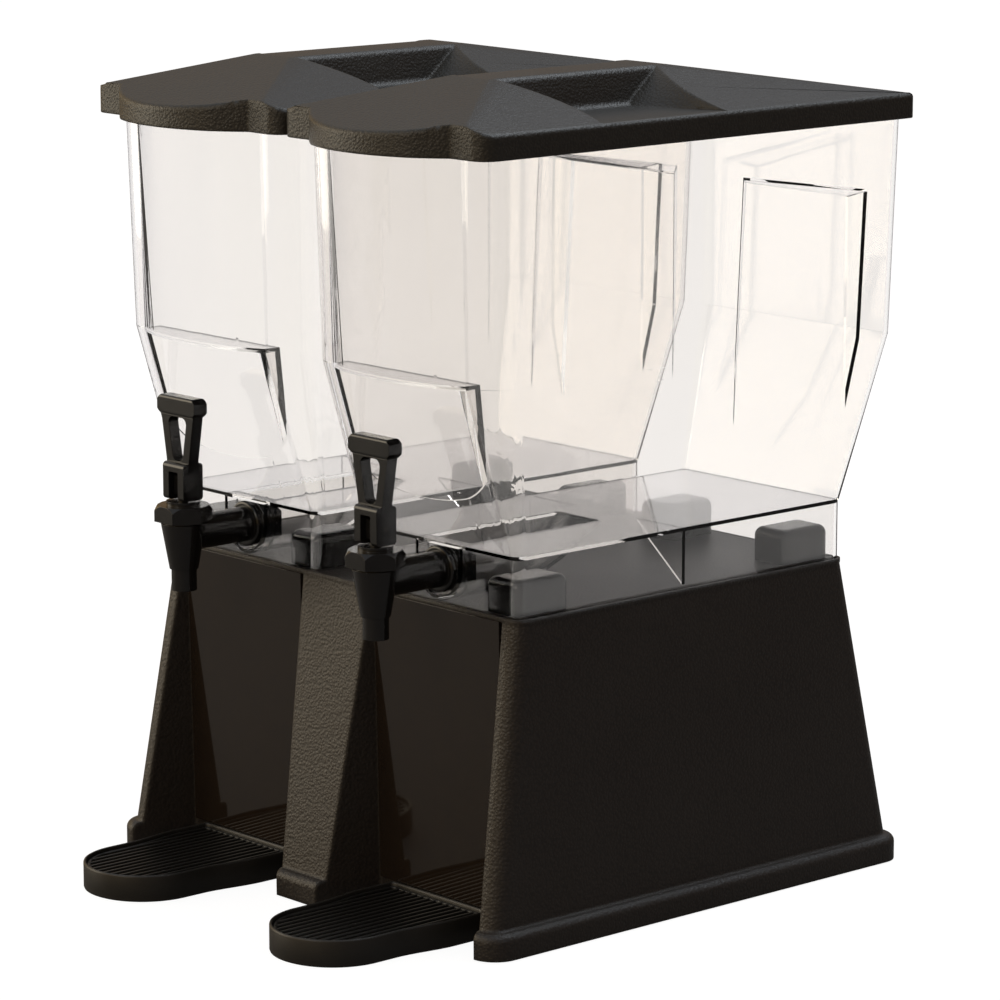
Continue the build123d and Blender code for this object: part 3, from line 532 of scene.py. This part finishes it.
def gridTree():
    # Frame that follows the tray's outline, ribs along it that end on the frame, cross bars and posts.
    extra = [("Inset", floatSocket, 0.0027), ("Top", floatSocket, 0.0175), ("Depth", floatSocket, 0.004),
             ("Rib Width", floatSocket, 0.003), ("Rib Count", "NodeSocketInt", 13),
             ("Rib Pitch", floatSocket, 0.0067),
             ("Cross Bars", "NodeSocketInt", 4), ("Floor", floatSocket, 0.0022),
             ("Finish", "NodeSocketMaterial", None)]
    tree, g, given, out = newGroup("dripGrid", "GeometryNodeTree", trayInputs + extra,
                                   [("Geometry", "NodeSocketGeometry")])
    halfDepth = g.math("MULTIPLY", given["Depth"], 0.5)
    midZ = g.math("SUBTRACT", given["Top"], halfDepth)
    bar = roundedBar(g, given["Rib Width"], given["Depth"], 0.6 * mm)
    # frame
    points = 120
    loop = g.add("GeometryNodeCurvePrimitiveCircle", {"Resolution": points, "Radius": 1.0}).outputs[0]
    share = g.math("DIVIDE", g.add("GeometryNodeInputIndex").outputs[0], float(points))
    middleIn = g.math("ADD", given["Inset"], g.math("MULTIPLY", given["Rib Width"], 0.5))
    plan = outlineAt(g, given, share, middleIn)
    lifted = g.add("ShaderNodeVectorMath", {0: plan, 1: g.vector(0.0, 0.0, midZ)}, operation="ADD").outputs[0]
    route = g.add("GeometryNodeSetPosition", {"Geometry": loop, "Position": lifted}).outputs[0]
    edging = g.add("GeometryNodeCurveToMesh", {"Curve": route, "Profile Curve": bar}).outputs[0]
    # ribs: one unit-long bar along Y at each place, stretched to its own length
    half = g.math("SUBTRACT", given["Half Width"], middleIn)
    start = g.math("ADD", given["Nose"], given["Half Width"])
    back = g.math("SUBTRACT", given["Rear"], middleIn)
    unitRib = g.add("GeometryNodeCurvePrimitiveLine", {"Start": (0, 0, 0), "End": (0, 1, 0)}).outputs[0]
    rib = g.add("GeometryNodeCurveToMesh", {"Curve": unitRib, "Profile Curve": bar,
                                            "Fill Caps": True}).outputs[0]
    row = g.add("GeometryNodeMeshLine", {"Count": given["Rib Count"]}).outputs[0]
    number = g.add("GeometryNodeInputIndex").outputs[0]
    centred = g.math("SUBTRACT", number, g.math("MULTIPLY", g.math("SUBTRACT", given["Rib Count"], 1.0), 0.5))
    ribX = g.math("MULTIPLY", centred, given["Rib Pitch"])
    inside = g.math("MINIMUM", g.math("ABSOLUTE", ribX), half)
    bow = g.math("SQRT", g.math("SUBTRACT", g.math("MULTIPLY", half, half),
                                g.math("MULTIPLY", inside, inside)))
    ribStart = g.math("SUBTRACT", start, bow)
    ribPlace = g.vector(g.math("ADD", ribX, given["Centre"]), ribStart, midZ)
    row = g.add("GeometryNodeSetPosition", {"Geometry": row, "Position": ribPlace}).outputs[0]
    stretch = g.vector(1.0, g.math("SUBTRACT", back, ribStart), 1.0)
    ribs = g.add("GeometryNodeInstanceOnPoints", {"Points": row, "Instance": rib,
                                                  "Scale": stretch}).outputs[0]
    # cross bars under the ribs, as long as the tray is wide there
    crossLine = g.add("GeometryNodeCurvePrimitiveLine", {"Start": (-1, 0, 0), "End": (1, 0, 0)}).outputs[0]
    low = roundedBar(g, given["Rib Width"], halfDepth, 0.4 * mm)
    cross = g.add("GeometryNodeCurveToMesh", {"Curve": crossLine, "Profile Curve": low,
                                              "Fill Caps": True}).outputs[0]
    ladder = g.add("GeometryNodeMeshLine", {"Count": given["Cross Bars"]}).outputs[0]
    step = g.math("DIVIDE", g.math("ADD", number, 0.8), given["Cross Bars"])
    crossY = g.math("ADD", given["Nose"], g.math("MULTIPLY", step, g.math("SUBTRACT", back, given["Nose"])))
    ahead = g.math("MAXIMUM", g.math("SUBTRACT", start, crossY), 0.0)
    reach = g.math("SQRT", g.math("SUBTRACT", g.math("MULTIPLY", half, half),
                                  g.math("MULTIPLY", ahead, ahead)))
    lowZ = g.math("SUBTRACT", given["Top"], g.math("MULTIPLY", given["Depth"], 0.75))
    ladder = g.add("GeometryNodeSetPosition", {"Geometry": ladder,
                                               "Position": g.vector(given["Centre"], crossY,
                                                                    lowZ)}).outputs[0]
    crossBars = g.add("GeometryNodeInstanceOnPoints",
                      {"Points": ladder, "Instance": cross, "Scale": g.vector(reach, 1.0, 1.0)}).outputs[0]
    # posts that stand on the tray's floor, under the first and last cross bar
    tall = g.math("SUBTRACT", lowZ, given["Floor"])
    post = g.add("GeometryNodeMeshCylinder", {"Vertices": 20, "Radius": 2.5 * mm,
                                              "Depth": tall}).outputs["Mesh"]
    foot = g.add("GeometryNodeMeshLine", {"Count": 4}).outputs[0]
    pair = g.math("FLOOR", g.math("MULTIPLY", g.math("ADD", number, 0.5), 0.5))
    hand = g.math("SUBTRACT", number, g.math("MULTIPLY", pair, 2.0))
    postX = g.math("MULTIPLY", g.math("MULTIPLY_ADD", hand, 2.0, -1.0),
                   g.math("MULTIPLY", given["Rib Pitch"], 3.0))
    lastBar = g.math("SUBTRACT", given["Cross Bars"], 1.0)
    postStep = g.math("DIVIDE", g.math("ADD", g.math("MULTIPLY", pair, lastBar), 0.8), given["Cross Bars"])
    postY = g.math("ADD", given["Nose"], g.math("MULTIPLY", postStep,
                                                g.math("SUBTRACT", back, given["Nose"])))
    postZ = g.math("ADD", given["Floor"], g.math("MULTIPLY", tall, 0.5))
    foot = g.add("GeometryNodeSetPosition",
                 {"Geometry": foot, "Position": g.vector(g.math("ADD", postX, given["Centre"]), postY,
                                                         postZ)}).outputs[0]
    posts = g.add("GeometryNodeInstanceOnPoints", {"Points": foot, "Instance": post}).outputs[0]
    joined = g.add("GeometryNodeJoinGeometry")
    for part in (edging, ribs, crossBars, posts):
        g.tree.links.new(part, joined.inputs[0])
    finishNodes(g, out, joined.outputs[0], given["Finish"])
    return tree


def springTree():
    inputs = [("Turns", floatSocket, 6.0), ("Radius", floatSocket, 0.0074), ("Wire", floatSocket, 0.0008),
              ("Foot", "NodeSocketVector", (0, 0, 0)), ("Rise", floatSocket, 0.02),
              ("Finish", "NodeSocketMaterial", None)]
    tree, g, given, out = newGroup("coilSpring", "GeometryNodeTree", inputs,
                                   [("Geometry", "NodeSocketGeometry")])
    coil = g.add("GeometryNodeCurveSpiral", {"Resolution": 40, "Rotations": given["Turns"],
                                             "Start Radius": given["Radius"],
                                             "End Radius": given["Radius"],
                                             "Height": given["Rise"]}).outputs[0]
    wire = g.add("GeometryNodeCurvePrimitiveCircle", {"Resolution": 12, "Radius": given["Wire"]}).outputs[0]
    solid = g.add("GeometryNodeCurveToMesh", {"Curve": coil, "Profile Curve": wire,
                                              "Fill Caps": True}).outputs[0]
    placed = g.add("GeometryNodeTransform", {"Geometry": solid, "Translation": given["Foot"]}).outputs[0]
    finishNodes(g, out, placed, given["Finish"])
    return tree


# Sizes that the trays' and springs' own boxes don't give.
trayLook = {"Half Width": 46 * mm, "Flare Start": 64.5 * mm, "Flare End": 114 * mm, "Points Round": 160}
gridLook = {"Inset": 2.75 * mm, "Depth": 4 * mm, "Rib Width": 2.6 * mm, "Rib Count": 13,
            "Rib Pitch": 6.72 * mm, "Cross Bars": 4}
springLook = {"Turns": 6.0, "Wire": 0.8 * mm}
trees = {"tray": trayTree(), "grid": gridTree(), "spring": springTree()}


def trayPlan(side):
    low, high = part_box(f"drip_tray_{side}")
    return {"Centre": (low.x + high.x) / 2, "Nose": low.y, "Rear": high.y,
            "Rear Half Width": (high.x - low.x) / 2, **trayLook}


for side in sides:
    plan = trayPlan(side)
    standIn(makeByNodes(f"drip_tray_{side}_shell", trees["tray"], plan, "traySkin"), f"drip_tray_{side}")
    gridLow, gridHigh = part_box(f"drip_grid_{side}")
    grid = {**plan, **gridLook, "Top": gridHigh.z, "Floor": gridLow.z}
    standIn(makeByNodes(f"drip_grid_{side}_bars", trees["grid"], grid, "gridSkin"), f"drip_grid_{side}")
    low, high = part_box(f"return_spring_{side}")
    wire = springLook["Wire"]
    middle = (low + high) / 2
    spring = {**springLook, "Radius": (high.x - low.x) / 2 - wire, "Rise": high.z - low.z - 2 * wire,
              "Foot": (middle.x, middle.y, low.z + wire)}
    standIn(makeByNodes(f"return_spring_{side}_coil", trees["spring"], spring, "springWire"),
            f"return_spring_{side}")
print("trays, grids and springs made")


# Studio: pale floor, soft boxes, camera.
studio = {"floorSize": 14.0, "floorColour": (0.14, 0.13, 0.12),
          "seenFloor": 0.93, "seenWhite": 1.0, "insideWhite": 0.2, "floorGlow": 0.03,
          "warmWay": (-0.6, -0.8, 0.0), "warmSide": (1.0, 0.68, 0.3), "darkSide": (0.17, 0.115, 0.08),
          "sky": (0.62, 0.68, 0.76)}


def seenShare(g):
    # 1 for what the camera sees directly or through clear plastic, part way for glints inside it.
    path = g.add("ShaderNodeLightPath").outputs
    direct = g.math("MAXIMUM", path["Is Camera Ray"], path["Is Transmission Ray"])
    inside = g.math("MULTIPLY", g.math("GREATER_THAN", path["Transmission Depth"], 0.5),
                    studio["insideWhite"])
    return g.math("MAXIMUM", direct, inside)


def makeFloor():
    half = studio["floorSize"] / 2
    mesh = bpy.data.meshes.new("floor")
    corners = [(-half, -half, 0), (half, -half, 0), (half, half, 0), (-half, half, 0)]
    mesh.from_pydata(corners, [], [(0, 1, 2, 3)])
    floor = bpy.data.objects.new("floor", mesh)
    bpy.context.collection.objects.link(floor)
    material, g, shader = newMaterial("floorPaint")
    setShader(shader, {"Base Color": (*studio["floorColour"], 1.0), "Roughness": 0.7,
                       "Specular IOR Level": 0.2, "Emission Color": (1, 1, 1, 1)})
    glow = g.ramp(seenShare(g), 0.0, 1.0, studio["floorGlow"], studio["seenFloor"])
    g.tree.links.new(glow, shader.inputs["Emission Strength"])
    mesh.materials.append(material)


def softBox(name, place, target, size, power, colour=(1.0, 1.0, 1.0)):
    light = bpy.data.lights.new(name, "AREA")
    light.shape = "RECTANGLE"
    light.size, light.size_y = size
    light.energy = power
    light.color = colour
    lamp = bpy.data.objects.new(name, light)
    bpy.context.collection.objects.link(lamp)
    lamp.location = place
    lamp.rotation_euler = (Vector(target) - Vector(place)).to_track_quat("-Z", "Y").to_euler()


def makeWorld():
    world = bpy.data.worlds.new("studioAir")
    world.use_nodes = True
    bpy.context.scene.world = world
    g = Graph(world.node_tree)
    way = g.add("ShaderNodeTexCoord").outputs["Generated"]
    toWarm = g.add("ShaderNodeVectorMath", {0: way, 1: studio["warmWay"]},
                   operation="DOT_PRODUCT").outputs["Value"]
    up = g.add("ShaderNodeSeparateXYZ", {0: way}).outputs["Z"]
    level = g.mix(g.ramp(toWarm, -0.2, 0.9), studio["darkSide"], studio["warmSide"])
    unseen = g.mix(g.ramp(up, 0.25, 0.8), level, studio["sky"])
    colour = g.mix(seenShare(g), unseen, (studio["seenWhite"],) * 3)
    world.node_tree.links.new(colour, world.node_tree.nodes["Background"].inputs["Color"])


def makeCamera():
    look = {"place": (2.4208, -2.1286, 0.9093), "azimuth": 48.13, "down": 11.1, "lens": 160.45}
    turn, down = math.radians(look["azimuth"]), math.radians(look["down"])
    ahead = Vector((-math.sin(turn) * math.cos(down), math.cos(turn) * math.cos(down), -math.sin(down)))
    data = bpy.data.cameras.new("camera")
    data.lens = look["lens"]
    data.sensor_width = 36.0
    camera = bpy.data.objects.new("camera", data)
    bpy.context.collection.objects.link(camera)
    camera.location = look["place"]
    camera.rotation_euler = ahead.to_track_quat("-Z", "Y").to_euler()
    bpy.context.scene.camera = camera


bpy.context.scene.view_settings.view_transform = "Standard"
makeFloor()
makeWorld()
softBox("keyBox", (-2.4, -1.7, 0.8), (0, 0, 0.35), (1.8, 2.0), 34, (1.0, 0.93, 0.78))
softBox("frontBox", (0.2, -3.0, 1.5), (0, 0, 0.3), (1.2, 0.8), 16, (1.0, 0.95, 0.85))
softBox("topBox", (0.3, 0.9, 2.3), (0, 0.1, 0.5), (1.6, 1.2), 26, (0.88, 0.94, 1.0))
makeCamera()
print("studio set")
